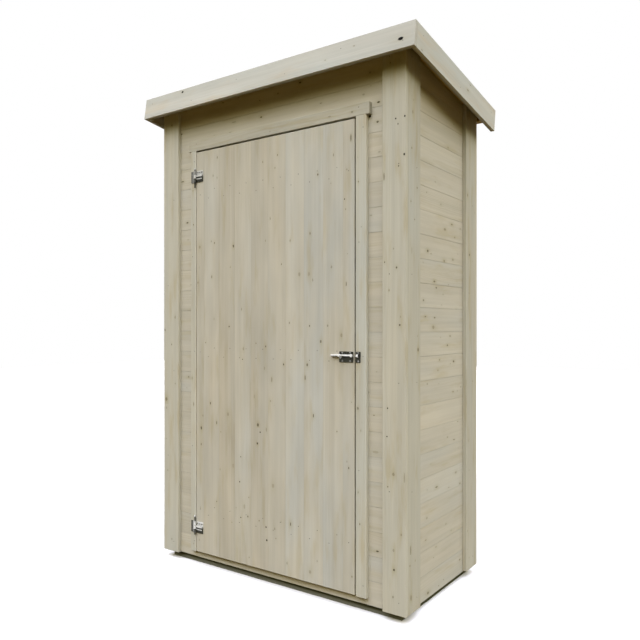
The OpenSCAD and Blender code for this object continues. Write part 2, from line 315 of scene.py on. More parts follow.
def tonguedProfile(tongue=True, groove=True, **changes):
    def section(width, thick):
        # Section of a matched board, from its back round to its face: a tongue on the far edge,
        # a groove on the near one, and a small flat where two faces meet.
        s = {**boardShape, **changes}
        low, high = (thick - s["tongueThick"]) / 2, (thick + s["tongueThick"]) / 2
        near, far = s["gap"] / 2, width - s["gap"] / 2
        under = faceColumns(near, far)
        over = faceColumns(near + s["vee"], far - s["vee"])[::-1]
        nearJoint, farJoint = (1 if joined else -s["freshEdge"] for joined in (groove, tongue))
        points = [(v, 0, s["backEdge"] * (v in (under[0], under[-1]))) for v in under]
        if tongue:
            reach = far + s["tongue"]
            points += [(far, low, 1), (reach, low, 1), (reach, high, 1), (far, high, 1)]
        points += [(far, thick - s["vee"], farJoint)]
        points += [(over[0], thick, s["matchedFace"] * farJoint),
                   *((v, thick, 0) for v in over[1:-1]),
                   (over[-1], thick, s["matchedFace"] * nearJoint),
                   (near, thick - s["vee"], nearJoint)]
        if groove:
            depth, play = near + s["tongue"] + s["play"], s["play"] / 2
            points += [(near, high + play, 1), (depth, high + play, 1),
                       (depth, low - play, 1), (near, low - play, 1)]
        else:
            points += [(near, s["backFlat"], nearJoint)]
        points = np.array(points)
        return points[:, :2], points[:, 2]
    return section


def scatterKnots(rng, length, width, perMetre, large, taken):
    # Seeded knots: place along, place across and radius, which is below zero for a black one.
    # PerMetre is how many come to a metre of board, and large the share that is large.
    k = knotShape
    knots = list(taken)
    for _ in range(rng.poisson(perMetre * length)):
        u, v, size, wide = rng.random(4)
        least, spread = k["large"] if wide < large else k["small"]
        radius = least + spread * size * (1 if wide < large else size)
        u = k["endGap"] + u * (length - 2 * k["endGap"])
        v = k["edgeGap"] + v * (width - 2 * k["edgeGap"])
        if all(math.hypot((u - other[0]) * k["apartAlong"], v - other[1])
               > k["apart"] + radius + abs(other[2]) for other in knots):
            knots.append((u, v, radius))
    return knots


def spotsOn(low, high, out, spots):
    # Knots listed for a box's face, and on the front wall two black spots of painted shadow: each is
    # a place across, a height and a radius.
    axis, face = faceOf(low, high, out)
    return [(*np.insert([side, height], axis, face), radius) for side, height, radius in spots]


def addPlank(surface, low, high, along, out, rng, section=planedProfile(), spots=(), taper=None,
             marks=(), clip=None, settle=None, perMetre=4.0, large=0.10, tone=None, lift=0.0,
             freshEnds=0.0):
    # One board in the box from low to high. Points = corner + along * u + across * v + out * w,
    # with u in steps down the length and (v, w) going round the section, whose first and last
    # rings are drawn in by the arris.
    low, high = np.array(low, float), np.array(high, float)
    across = np.cross(out, along)
    corner = np.where(along + across + out > 0, low, high)
    length, width, thick = (abs((high - low) @ d) for d in (along, across, out))
    outline, joint = section(width, thick)
    sink = rng.uniform(0, boardShape["sink"])
    outline[:, 1] -= sink * (outline[:, 1] > thick * 0.9)
    steps = np.linspace(0, length, max(2, round(length / boardShape["step"])) + 1)[1:-1]
    edge, band = boardShape["arris"], boardShape["edgeBand"]
    u = np.unique(np.concatenate([[0, edge, band, length - band, length - edge, length], steps,
                                  marks]))
    rings = np.repeat(outline[None], len(u), 0)
    joint = np.repeat(joint[None], len(u), 0)
    if freshEnds:
        joint[[0, 1, -2, -1]] = np.minimum(joint[0], -freshEnds * boardShape["freshEdge"])
    rings[0] = rings[-1] = shrink(outline, edge)
    if taper is not None:
        rings[..., 0] *= taper(u)[:, None] / width
    points = (corner + u[:, None, None] * along + rings[..., :1] * across + rings[..., 1:] * out)
    if clip is not None:
        points = clip(points)
    local = points - corner
    grain = np.stack([local @ along, local @ across, local @ out], -1)
    taken = []
    for *place, radius in spots:
        spot = [(np.array(place) - corner) @ d for d in (along, across, out)]
        onFace = abs(spot[2] - thick) < knotShape["depth"]
        if onFace and 0 < spot[0] < length and 0 < spot[1] < width:
            taken.append((spot[0], spot[1], radius))
    knots = scatterKnots(rng, length, width, perMetre, large, taken)
    look = (rng.uniform(-1, 1) + lift, rng.uniform(-1, 1), rng.random()) if tone is None else tone
    surface.loft(points if settle is None else settle(points), grain, look, joint, knots)


def boardPiece(name, node, along, out, slot, finish, spans=None, axis=0, box=corners,
               body="shed", matched=False, **changes):
    # A piece made of one node's boards side by side, each in its own span of the axis. Its
    # randomness comes from the dice of its section.
    low, high = box(node)
    spans = spans or [(low[axis], high[axis])]
    made = Surface()
    for i, span in enumerate(spans):
        low[axis], high[axis] = span
        if matched:
            changes["section"] = tonguedProfile(i < len(spans) - 1, i > 0)
        addPlank(made, low, high, along, out, dice, **changes)
    made.piece(name, body, slot, finish, [node])


# Finishes

def sign(operation, swapped=False):
    # What a sign such as + does on a wire: a Math node, with its two sides swapped or not.
    def result(self, other):
        return self.paint.calc(operation, *((other, self) if swapped else (self, other)))
    return result


class Wire:
    # A node's output. Sums on it become Math nodes.
    def __init__(self, paint, socket):
        self.paint, self.socket = paint, socket

    __add__ = __radd__ = sign("ADD")
    __mul__ = __rmul__ = sign("MULTIPLY")
    __sub__, __rsub__ = sign("SUBTRACT"), sign("SUBTRACT", swapped=True)
    __truediv__, __rtruediv__ = sign("DIVIDE"), sign("DIVIDE", swapped=True)
    __pow__ = sign("POWER")


class Paint:
    # One material and the few ways in which its nodes are made.
    def __init__(self, name, kind=bpy.data.materials):
        self.owner = kind.new(name)
        self.owner.use_nodes = True
        self.tree = self.owner.node_tree

    def node(self, kind, settings=None, sockets=None, output=0):
        made = self.tree.nodes.new("ShaderNode" + kind)
        for key, value in (settings or {}).items():
            if key == "stops":
                for i, (place, colour) in enumerate(value):
                    stops = made.color_ramp.elements
                    stop = stops[i] if i < 2 else stops.new(place)
                    stop.position, stop.color = place, colour
            else:
                setattr(made, key, value)
        for key, value in (sockets or {}).items():
            if isinstance(value, Wire):
                self.tree.links.new(value.socket, made.inputs[key])
            else:
                made.inputs[key].default_value = value
        return Wire(self, made.outputs[output])

    def read(self, label, output="Vector"):
        return self.node("Attribute", {"attribute_name": label}, output=output)

    def parts(self, vector):
        return [self.node("SeparateXYZ", None, {0: vector}, i) for i in range(3)]

    def vector(self, x, y, z):
        return self.node("CombineXYZ", None, {0: x, 1: y, 2: z})

    def calc(self, operation, a, b=0.0):
        return self.node("Math", {"operation": operation}, {0: a, 1: b})

    def ease(self, value, start, stop, low=0.0, high=1.0):
        # From low to high, smoothly, as the value goes from start to stop.
        return self.node("MapRange", {"interpolation_type": "SMOOTHSTEP"},
                         {0: value, 1: start, 2: stop, 3: low, 4: high})

    def noise(self, vector, scale, detail=2.0, rough=0.5):
        return self.node("TexNoise", None, {"Vector": vector, "Scale": scale, "Detail": detail,
                                            "Roughness": rough})

    def mix(self, factor, a, b, blend="MIX"):
        a = a if isinstance(a, Wire) else (*a, 1)
        b = b if isinstance(b, Wire) else (*b, 1)
        return self.node("Mix", {"data_type": "RGBA", "blend_type": blend, "clamp_factor": True},
                         {0: factor, 6: a, 7: b}, 2)

    def times(self, colour, level):
        return self.mix(1.0, colour, self.vector(level, level, level), "MULTIPLY")

    def scaled(self, vector, x, y, z):
        return self.node("VectorMath", {"operation": "MULTIPLY"}, {0: vector, 1: (x, y, z)})

    def shade(self, **values):
        shader = self.tree.nodes["Principled BSDF"]
        for key, value in values.items():
            socket = shader.inputs[key.replace("_", " ")]
            if isinstance(value, Wire):
                self.tree.links.new(value.socket, socket)
            else:
                socket.default_value = (*value, 1) if isinstance(value, tuple) else value
        return self.owner

    def bump(self, height, strength, distance):
        return self.node("Bump", None, {"Strength": strength, "Distance": distance,
                                        "Height": height})


woodLook = {"pale": (0.469, 0.448, 0.372), "late": (0.368, 0.336, 0.236),
            "cool": (0.443, 0.452, 0.416), "warm": (0.482, 0.442, 0.344),
            "knot": (0.070, 0.060, 0.036), "wideKnot": (0.19, 0.158, 0.092),
            "halo": (0.34, 0.305, 0.175), "tan": (0.400, 0.358, 0.242), "patch": 0.65,
            "ring": 0.0034, "rings": 0.55, "fibre": 0.165, "band": 0.27, "blotch": 0.18,
            "tone": 0.035, "hue": 0.85, "dirt": 0.12, "rough": 0.66, "relief": 0.00035,
            "splash": 0.0, "dust": (0.20, 0.205, 0.165), "dead": (0.008, 0.007, 0.005)}


def woodFinish(name, **changes):
    # Growth rings about a wandering heart line, bent round the knots, with fibres along the
    # board, a tone for each board and slow changes of tone along it.
    look = {**woodLook, **changes}
    p = Paint(name)
    grain = p.read("grain")
    along, across, deep = p.parts(grain)
    light, hue, seed = p.parts(p.read("tone"))
    knotU, knotV, knotSize = p.parts(p.read("knot"))
    knotR = p.calc("ABSOLUTE", knotSize)
    joint = p.read("joint", "Fac")
    shift = seed * 37.0
    own = p.node("VectorMath", {"operation": "ADD"}, {0: grain, 1: p.vector(shift, shift, shift)})
    dice = p.node("TexWhiteNoise", {"noise_dimensions": "1D"}, {"W": seed * 913.0}, "Color")
    diceA, diceB, diceC = p.parts(dice)

    def drawn(lengthways, crossways, detail=2.0, rough=0.5):
        # Noise about zero, drawn out along the board.
        return p.noise(p.scaled(own, lengthways, crossways, crossways), 1.0, detail, rough) - 0.5

    # Knots: how near the point is to its knot. Each has its own length, width and strength, and
    # a few are only a short dark dash.
    du, dv = along - knotU, across - knotV
    chance = p.node("TexWhiteNoise", {"noise_dimensions": "2D"},
                    {"Vector": p.vector(knotU * 61.0, knotV * 173.0, 0.0)}, "Color")
    luckA, luckB, luckC = p.parts(chance)
    ragged = p.noise(own, 240.0, 2.0) - 0.5
    wide = p.ease(knotSize, 0.0042, 0.0060)
    # A knot whose radius is below zero is black. Two such black spots on the front wall, under the
    # ends of the header board, are painted shadows.
    dead = p.calc("LESS_THAN", knotSize, 0.0)
    dash = p.ease(luckA, 0.72, 0.78) * (1.0 - wide) * (1.0 - dead)
    far = ((du * (0.55 + luckB * 0.4 - dash * 0.32 + dead * 0.25)) ** 2.0
           + (dv * (1.0 + luckA * 0.4 + dash * 0.6)) ** 2.0)
    core = p.calc("SQRT", far) / knotR + ragged * (0.5 + luckC * 0.5)
    pull = p.calc("EXPONENT", -1.0 * ((du / (knotR * 4.2)) ** 2.0 + (dv / (knotR * 2.1)) ** 2.0))
    strong = p.calc("MAXIMUM", dead, p.ease(luckC, 0.15, 1.0, 0.35, 1.0))

    # Growth rings: the distance from the heart line, counted in ring widths.
    wander = drawn(0.9, 0, 1.0)
    bent = across - dv * pull * 0.85
    heartV = (diceA - 0.5) * 0.22 + wander * 0.05
    heartW = -0.006 - diceB * 0.10 + wander * 0.03
    away = p.calc("SQRT", (bent - heartV) ** 2.0 + (deep - heartW) ** 2.0)
    wave = drawn(6, 60)
    count = away / (look["ring"] * (0.6 + diceC * 0.9)) + wave * 0.7
    part = p.calc("FRACT", count)
    late = p.ease(part, 0.25, 0.88) * p.ease(part, 0.90, 1.0, 1.0, 0.0)
    yearly = p.node("TexWhiteNoise", {"noise_dimensions": "1D"},
                    {"W": p.calc("FLOOR", count) + shift})
    figure = look["rings"] * (0.35 + 1.1 * diceB * diceB + 0.25 * pull)
    late = late * (0.35 + 0.65 * yearly) * figure

    fibre, streak = drawn(9, 700, 2.0, 0.6), drawn(1.6, 95, 3.0, 0.6)
    blotch, band, drift = drawn(3.4, 11), drawn(0.9, 34, 2.0, 0.55), drawn(1.7, 9, 1.0)
    patch = p.noise(p.scaled(own, 4.0, 24, 24), 1.0, 3.0, 0.6)
    # Painted light from below: within about 10 to 18 mm of a board's back, which on the outer bearers
    # is their foot, the colour turns lighter along a ragged line.
    splash = p.ease(deep + streak * 0.012, 0.018, 0.010) * look["splash"]

    colour = p.mix(late, look["pale"], look["late"])
    swing = hue * 0.35 + drift * 2.2
    colour = p.mix(p.ease(swing, 0.0, 0.9) * look["hue"], colour,
                   p.mix(late * 0.8, look["cool"], look["late"]))
    colour = p.mix(p.ease(swing, 0.0, -0.9) * look["hue"], colour,
                   p.mix(late * 0.8, look["warm"], look["late"]))
    colour = p.mix(p.ease(patch, 0.50, 0.72) * look["patch"], colour, look["tan"])
    level = (1.0 + light * look["tone"] + blotch * look["blotch"] + fibre * look["fibre"]
             + streak * look["fibre"] * 1.4 + band * look["band"])
    # Where joint is above zero the wood is darker: dirt in the joints, and painted shade along some
    # edges. Where it is below zero it is lighter: fresh-cut wood, and painted light on some side
    # faces and a painted highlight on the fascias' lower arris.
    level = level * (1.0 - joint * look["dirt"])
    colour = p.mix(splash, colour, look["dust"])
    colour = p.times(colour, level)

    # A knot: a brown stain along the grain, a dark rim, and a heart with rings of its own.
    stain = pull * p.ease(knotR, 0.002, 0.006, 0.30, 0.80) * (strong - dead * 0.75)
    colour = p.mix(stain * 0.75, colour, look["halo"])
    turns = p.calc("SINE", core * 17.0) * 0.10
    heart = p.mix(wide * p.ease(core, 1.0, 0.55) * (0.85 + turns), look["knot"], look["wideKnot"])
    heart = p.mix(dead, heart, look["dead"])
    inside = p.ease(core, 1.15, 0.75) * (strong * (0.92 - wide * 0.20 + dead * 0.08))
    colour = p.mix(inside, colour, heart)

    rough = look["rough"] + late * -0.08 + fibre * 0.12 - inside * 0.12
    height = late * 0.45 + fibre * 0.5 + streak * 0.35 + inside * 0.6 - pull * 0.2
    return p.shade(Base_Color=colour, Roughness=rough, Specular_IOR_Level=0.04,
                   Normal=p.bump(height, 0.6, look["relief"]))


print("finishes")
wallWood = woodFinish("wallSpruce", hue=0.65, rings=0.38, fibre=0.13, band=0.23, patch=0.5)
doorWood = woodFinish("doorSpruce", rings=0.24, dirt=0.07, patch=0.5, tone=0.06, blotch=0.34,
                      fibre=0.12, band=0.20)
trimWood = woodFinish("trimSpruce", tone=0.05, band=0.20, rings=0.42, fibre=0.14,
                      pale=(0.463, 0.453, 0.380), cool=(0.442, 0.455, 0.414),
                      warm=(0.476, 0.447, 0.352))
fasciaWood = woodFinish("fasciaSpruce", pale=(0.449, 0.453, 0.404), cool=(0.435, 0.455, 0.420),
                        warm=(0.472, 0.452, 0.398), late=(0.40, 0.365, 0.29),
                        tan=(0.45, 0.39, 0.285), patch=0.45)
frameWood = woodFinish("frameSpruce", pale=(0.50, 0.445, 0.325), cool=(0.475, 0.445, 0.345),
                       warm=(0.51, 0.435, 0.300), late=(0.40, 0.315, 0.190),
                       tan=(0.45, 0.37, 0.235))
deckWood = woodFinish("roofSpruce", pale=(0.46, 0.345, 0.150), cool=(0.43, 0.335, 0.160),
                      warm=(0.47, 0.33, 0.140), late=(0.33, 0.20, 0.07), tan=(0.42, 0.30, 0.12))
bearerLook = {"tan": (0.050, 0.050, 0.026), "pale": (0.078, 0.080, 0.044),
              "cool": (0.070, 0.077, 0.047), "warm": (0.086, 0.080, 0.041),
              "late": (0.045, 0.045, 0.022), "halo": (0.04, 0.038, 0.022),
              "knot": (0.02, 0.018, 0.01), "wideKnot": (0.03, 0.026, 0.014),
              "fibre": 0.5, "rough": 0.9, "relief": 0.0009}
# The outer bearers are painted lighter towards their foot: painted light from below.
bearerWood = woodFinish("bearerPine", splash=0.85, **bearerLook)
innerBearerWood = woodFinish("innerBearerPine", **bearerLook)


def zincFinish(name, **changes):
    # Zinc with small crystals. The first value of tone says how dark and dull it is, which on several
    # hinge and bolt parts is painted shade and painted highlight.
    look = {"fresh": (0.55, 0.55, 0.51), "dark": (0.030, 0.030, 0.020), **changes}
    p = Paint(name)
    place = p.node("TexCoord", output="Object")
    wearAndShade, _, _ = p.parts(p.read("tone"))
    shade, dull, _ = p.parts(p.node("TexVoronoi", None, {"Vector": place, "Scale": 420.0}, "Color"))
    cloud = p.noise(place, 120.0, 3.0, 0.6) - 0.5
    wearAndShadeMix = p.ease(wearAndShade + cloud * 0.3, 0.20, 0.80)
    level = 0.88 + shade * 0.16 + cloud * 0.3
    colour = p.mix(wearAndShadeMix, look["fresh"], look["dark"])
    colour = p.times(colour, level)
    fine = p.noise(place, 1800.0, 2.0)
    return p.shade(Base_Color=colour, Metallic=0.45, Roughness=0.28 + dull * 0.1 + wearAndShadeMix * 0.2,
                   Specular_IOR_Level=0.2, Normal=p.bump(fine + shade * 0.5, 0.25, 0.0002))


def feltFinish(name):
    # Bitumen sheet with crushed slate: round grains about a millimetre across in dark bitumen.
    p = Paint(name)
    place = p.node("TexCoord", output="Object")
    far = p.node("TexVoronoi", None, {"Vector": place, "Scale": 850.0}, "Distance")
    cell = p.node("TexVoronoi", None, {"Vector": place, "Scale": 850.0}, "Color")
    pick, other, _ = p.parts(cell)
    patch = p.noise(place, 6.0, 4.0, 0.6)
    grit = p.mix(p.ease(pick, 0.2, 0.9), (0.030, 0.034, 0.033), (0.115, 0.12, 0.112))
    grit = p.mix(p.ease(other, 0.86, 0.97), grit, (0.20, 0.20, 0.185))
    colour = p.mix(p.ease(far, 0.45, 0.75), grit, (0.010, 0.010, 0.010))
    colour = p.times(colour, 0.75 + patch * 0.5)
    return p.shade(Base_Color=colour, Roughness=0.86 + other * 0.1, Specular_IOR_Level=0.3,
                   Normal=p.bump(1.0 - far, 0.8, 0.0008))


hingeZinc = zincFinish("hingeZinc")
boltZinc = zincFinish("boltZinc", fresh=(0.68, 0.68, 0.64))
roofFelt = feltFinish("slatedFelt")


# Base and floor

baseShape = {"floorBoard": 0.082}
dice = np.random.default_rng(4)
for name, node in (("frontBearerBeam", "front_bearer"), ("rearBearerBeam", "rear_bearer")):
    boardPiece(name, node, right, top, "bearer_wood", bearerWood, perMetre=2)
low, high = corners("front_bearer")
beamWidth = high[1] - low[1]
low, high = corners("cross_bearers")
starts = (low[0], (low[0] + high[0] - beamWidth) / 2, high[0] - beamWidth)
boardPiece("crossBearerBeams", "cross_bearers", back, top, "bearer_wood", innerBearerWood,
           [(start, start + beamWidth) for start in starts])
low, high = corners("floor_boards")
boardPiece("floorPlanks", "floor_boards", right, top, "floor_wood", frameWood,
           evenSpans(low[1], high[1], baseShape["floorBoard"]), axis=1, matched=True)
print("base")

# Walls of matched boards that lie level, all with their joints at the same heights

wallShape = {"cover": 0.090, "sliver": 0.003, "markGap": 0.01, "thinnest": 0.001,
             "nick": 0.0001, "knots": 7}
wallFoot = corners("front_wall_sill")[0][2]
courseCount = math.ceil((sideHigh[2] - wallFoot) / wallShape["cover"])


def courses(surface, low, high, along, out, rng, spots=(), lift=0.0):
    # Boards from low to high, up to the underside of the roof. The cover of a board that meets
    # the roof is what is left below it, which falls off towards the back.
    for i in range(courseCount):
        foot = max(low[2], wallFoot + i * wallShape["cover"]) if i else low[2]
        head = min(high[2], wallFoot + (i + 1) * wallShape["cover"])
        if head - foot < wallShape["sliver"]:
            continue
        a, b = np.array([low[0], low[1], foot]), np.array([high[0], high[1], head])
        cover, taper, marks, clip, tongue = head - foot, None, (), None, head < high[2]
        if head > roofHeight(high[1]):
            clip, tongue = underRoof, False
            if abs(along[1]) > 0:
                # Along a side wall the cut slants, so the board ends where it runs out.
                start = a[1] if along[1] > 0 else b[1]
                runOut = rearLow[1] + (rearHigh[2] - foot - wallShape["sliver"]) / roofFall
                full = rearLow[1] + (rearHigh[2] - head) / roofFall
                if along[1] > 0:
                    b[1] = min(b[1], runOut)
                else:
                    b[1] = start = min(b[1], runOut)
                gap = wallShape["markGap"]
                marks = [m for m in (abs(full - start),) if gap < m < b[1] - a[1] - gap]

                def taper(u, start=start, foot=foot, cover=cover):
                    left = roofHeight(start + along[1] * u) - foot
                    return np.clip(left, wallShape["thinnest"], cover)
        addPlank(surface, a, b, along, out, rng, tonguedProfile(tongue, i > 0), spots,
                 taper, marks, clip, perMetre=wallShape["knots"], lift=lift)


doorway = {"left": corners("left_casing")[1][0], "right": corners("right_casing")[0][0],
           "foot": corners("front_wall_sill")[1][2], "head": corners("header_board")[0][2]}
dice = np.random.default_rng(11)
walls = Surface()
low, high = corners("front_wall_left")[0], corners("front_wall_right")[1]
low[2], high[2] = wallFoot, roofHeight(low[1])
# The lowest board runs right across, with its upper part cut out for the door.
firstHead = wallFoot + wallShape["cover"]
cutAt = np.array([doorway["left"], doorway["right"]]) - low[0]
nick = wallShape["nick"]
# Both edges of this board are painted darker; along its top this is painted shade under the door's
# bottom edge.
addPlank(walls, low, (high[0], high[1], firstHead), right, -back, dice,
         tonguedProfile(False, False, freshEdge=-2), perMetre=3,
         taper=lambda u: np.where((u > cutAt[0] + nick / 2) & (u < cutAt[1] - nick / 2),
                                  doorway["foot"] - wallFoot, wallShape["cover"]),
         marks=(cutAt[0], cutAt[0] + nick, cutAt[1] - nick, cutAt[1]), lift=3.0)
# Beside the doorway the boards are short, and above it they run right across.
headCourse = wallFoot + wallShape["cover"] * math.ceil(
    (doorway["head"] - wallFoot) / wallShape["cover"])
# Knots on the front wall. The last two, black and just under the ends of the header board, are
# painted shadows.
frontKnotsAndShadows = spotsOn(low, high, -back,
                     ((0.4985, 1.846, 0.0038), (0.4354, 1.886, 0.0042), (0.4947, 1.776, 0.0042),
                      (0.502, 1.667, 0.0036), (0.463, 1.801, -0.0060), (-0.448, 1.801, -0.0040)))
for a, b, foot, head in ((low[0], doorway["left"], firstHead, headCourse),
                         (doorway["right"], high[0], firstHead, headCourse),
                         (doorway["left"], doorway["right"], doorway["head"], headCourse),
                         (low[0], high[0], headCourse, high[2])):
    courses(walls, (a, low[1], foot), (b, high[1], head), right, -back, dice, frontKnotsAndShadows, 1.5)
walls.piece("frontCladding", "shed", "wall_wood", wallWood,
            ["front_wall_sill", "front_wall_left", "front_wall_right", "front_wall_head"])
rightSpots = spotsOn(*corners("right_wall"), right,
                     ((-0.044, 0.198, 0.0052), (-0.113, 0.045, 0.0052), (-0.122, 0.327, 0.0045),
                      (0.046, 0.264, 0.0040), (0.0, 1.513, 0.0046), (0.030, 1.297, 0.0055),
                      (0.182, 0.397, 0.0046), (0.146, 1.110, 0.0040)))
for name, node, along, out in (("leftCladding", "left_wall", -back, -right),
                               ("rightCladding", "right_wall", back, right),
                               ("rearCladding", "rear_wall", -right, back)):
    wall = Surface()
    low, high = corners(node)
    courses(wall, low, high, along, out, dice, rightSpots, 1.2)
    wall.piece(name, "shed", "wall_wood", wallWood, [node])
print("walls")

# Posts, rails, trims and casings: planed boards on end, cut to the roof where they meet it

dice = np.random.default_rng(23)
onEnd = {"clip": underRoof, "freshEnds": 1.0}
low, high = corners("front_posts")
post = high[1] - low[1]
ends = atEnds(low[0], high[0], post)
low, high = corners("door_posts")
for name, node, out, spans in (
        ("frontCornerPosts", "front_posts", back, ends),
        ("rearWallPosts", "rear_posts", -back, [ends[0], (-post / 2, post / 2), ends[1]]),
        ("doorwayPosts", "door_posts", back, atEnds(low[0], high[0], post))):
    boardPiece(name, node, -top, out, "frame_wood", frameWood, spans, **onEnd)
boardPiece("doorHeadRail", "head_rail", right, back, "frame_wood", frameWood)

trimFacing = {"front_left_trim": -back, "front_right_trim": -back, "rear_left_trim": back,
              "rear_right_trim": back, "left_front_trim": -right, "left_rear_trim": -right,
              "right_front_trim": right, "right_rear_trim": right, "left_casing": -back,
              "right_casing": -back}
casingNames = {"left_casing": "hingeCasing", "right_casing": "boltCasing"}
trimSpots = {"front_right_trim": ((0.6135, 1.770, -0.0036), (0.5777, 1.768, -0.0028),
                                  (0.586, 1.748, -0.0031), (0.611, 1.638, -0.0044),
                                  (0.589, 1.601, -0.0026), (0.612, 0.515, 0.0044),
                                  (0.5425, 0.652, -0.0030), (0.545, 0.752, -0.0024),
                                  (0.569, 0.255, 0.0042), (0.571, 0.187, 0.0042)),
             "right_front_trim": ((-0.290, 0.202, 0.0032), (-0.282, 0.088, 0.0048)),
             "header_board": ((0.3967, 1.825, 0.004), (0.297, 1.827, 0.004))}
trimTones = {"front_left_trim": (0.8, 0.3, 0.21), "front_right_trim": (0.7, 0.1, 0.47),
             "right_front_trim": (-1.2, -0.4, 0.83), "right_rear_trim": (-1.5, -0.3, 0.36),
             "left_casing": (0.8, 0.6, 0.62), "right_casing": (1.3, 1.1, 0.15)}
# Lighter edges of trims and casings: fresh-cut wood, and painted light on side faces that stand in
# shade in inner corners and door gaps.
freshEdges = {"front_left_trim": (0, 1), "right_rear_trim": (1.6, 0), "left_rear_trim": (0, 1),
              "rear_left_trim": (1, 0), "left_casing": (1, 3), "right_casing": (1, 1.6)}
for node, out in trimFacing.items():
    boardPiece(casingNames.get(node, pieceName(node)), node, -top, out, "trim_wood", trimWood,
               section=planedProfile(*freshEdges.get(node, (0, 0))),
               spots=spotsOn(*corners(node), out, trimSpots.get(node, ())),
               perMetre=3.0 if node in casingNames else 6.0, tone=trimTones.get(node), **onEnd)
# Its lower edge is painted darker: painted shade in the gap above the door.
boardPiece("headerBoard", "header_board", right, -back, "trim_wood", trimWood,
           section=planedProfile(-2, 0), perMetre=3,
           spots=spotsOn(*corners("header_board"), -back, trimSpots["header_board"]))
print("frame and trims")

# Door: matched boards on end, three ledges and two braces behind them

doorShape = {"cover": 0.090, "lastBoard": 0.050, "vee": 0.00015, "gap": 0.0001, "knots": 6,
             "large": 0.05}
doorTones = [(-0.2, 0.1), (-0.1, 0.0), (-0.9, -0.9), (0.3, 0.3), (-0.9, -0.7), (0.3, 0.1),
             (1.0, 1.1), (0.6, 1.5), (0.3, 1.2), (0.0, 0.5)]
dice = np.random.default_rng(31)
door = Surface()
low, high = corners("door_boards")
doorSpots = spotsOn(low, high, -back,
                    ((-0.009, 0.182, -0.0037), (-0.013, 0.234, -0.0036), (-0.155, 0.397, -0.0034),
                     (-0.149, 0.501, -0.0031), (-0.044, 0.613, -0.0031), (-0.192, 0.459, 0.0058),
                     (-0.139, 0.905, -0.0027), (-0.149, 0.250, -0.0028), (-0.129, 0.298, 0.0056),
                     (0.350, 1.008, 0.0058), (0.364, 1.510, -0.0027)))
edges = np.arange(high[0] - doorShape["lastBoard"], low[0], -doorShape["cover"])[::-1]
edges = np.concatenate([[low[0]], edges, [high[0]]])
for i, (a, b) in enumerate(zip(edges[:-1], edges[1:])):
    addPlank(door, (a, low[1], low[2]), (b, high[1], high[2]), -top, -back, dice,
             tonguedProfile(i < len(edges) - 2, i > 0, vee=doorShape["vee"], gap=doorShape["gap"]),
             doorSpots, perMetre=doorShape["knots"], large=doorShape["large"],
             tone=(*doorTones[i % len(doorTones)], dice.random()), freshEnds=1.0)
door.piece("doorBoards", "door", "door_wood", doorWood, ["door_boards"])

low, high = corners("door_ledges")
ledgeShape = {"height": 0.094, "braceInset": 0.030, "braceWidth": 0.070}
ledgeFeet = (low[2], (low[2] + high[2] - ledgeShape["height"]) / 2,
             high[2] - ledgeShape["height"])
boardPiece("doorLedges", "door_ledges", right, back, "frame_wood", frameWood,
           [(foot, foot + ledgeShape["height"]) for foot in ledgeFeet], axis=2, body="door")
braces = Surface()
for foot, head in zip(ledgeFeet[:-1], ledgeFeet[1:]):
    foot = foot + ledgeShape["height"]
    # From the hinge side's foot to the bolt side's head; its ends are cut level.
    start = np.array([low[0] + ledgeShape["braceInset"], low[1], foot])
    run = np.array([high[0] - low[0] - 2 * ledgeShape["braceInset"] - ledgeShape["braceWidth"],
                    0, head - foot])
    length = np.linalg.norm(run)
    run = run / length
    side = np.cross(back, run)
    over = ledgeShape["braceWidth"]
    wide = over * run[2]

    def levelEnds(points, start=start, run=run, side=side, foot=foot, head=head, over=over):
        # From the brace's own length, depth and width to its slant, then along it to the cuts.
        placed = (start + (points[..., :1] - over) * run + points[..., 2:] * side
                  + points[..., 1:2] * back)
        slide = np.clip(placed[..., 2:], foot, head) - placed[..., 2:]
        return placed + run * slide / run[2]

    addPlank(braces, (0, 0, 0), (length + 2 * over, high[1] - low[1], wide), right, back, dice,
             settle=levelEnds)
braces.piece("doorBraces", "door", "frame_wood", frameWood, ["door_braces"])
print("door")

# Screws and nails

screwShape = {"radius": 0.0034, "dome": 0.0009, "sunk": 0.0008, "arm": 0.56, "slit": 0.14,
              "sides": 32}
nailShape = {"radius": 0.0019, "proud": 0.0003, "sunk": 0.001, "dome": 0.8, "dull": 0.6,
             "sides": 10}


def addScrew(surface, place, out, turn, tone):
    # A round head with a cross in it. The cross reaches as far as the farther of two bars, and a
    # bar reaches min(arm / |cos|, slit / |sin|).
    s = screwShape
    a, b = squareTo(out, (0.31, 0.52, 0.8))
    angle = np.linspace(0, 2 * math.pi, s["sides"], endpoint=False)
    cos, sin = np.abs(np.cos(angle + turn)) + 1e-6, np.abs(np.sin(angle + turn)) + 1e-6
    cross = np.maximum(np.minimum(s["arm"] / cos, s["slit"] / sin),
                       np.minimum(s["arm"] / sin, s["slit"] / cos))
    circle = np.cos(angle)[:, None] * a + np.sin(angle)[:, None] * b
    rings = [place + out * height + circle * np.reshape(reach * s["radius"], (-1, 1))
             for height, reach in ((-s["sunk"], 1.0), (0, 1.0), (s["dome"] * 0.5, 0.88),
                                   (s["dome"] * 0.85, 0.70), (s["dome"], cross + 0.04),
                                   (s["dome"], cross), (s["dome"] * 0.1, cross * 0.85))]
    tones = np.tile(np.array([tone, 0, 0], float), (len(rings) * s["sides"], 1))
    tones[-2 * s["sides"]:, 0] = 1
    surface.loft(np.stack(rings), tone=tones)


def addNail(surface, place, out, scale=1.0):
    n = nailShape
    addTurned(surface, place, out,
              [(-n["sunk"], n["radius"] * scale), (0, n["radius"] * scale),
               (n["proud"] * scale, n["radius"] * n["dome"] * scale)],
              (n["dull"], 0, 0), n["sides"])
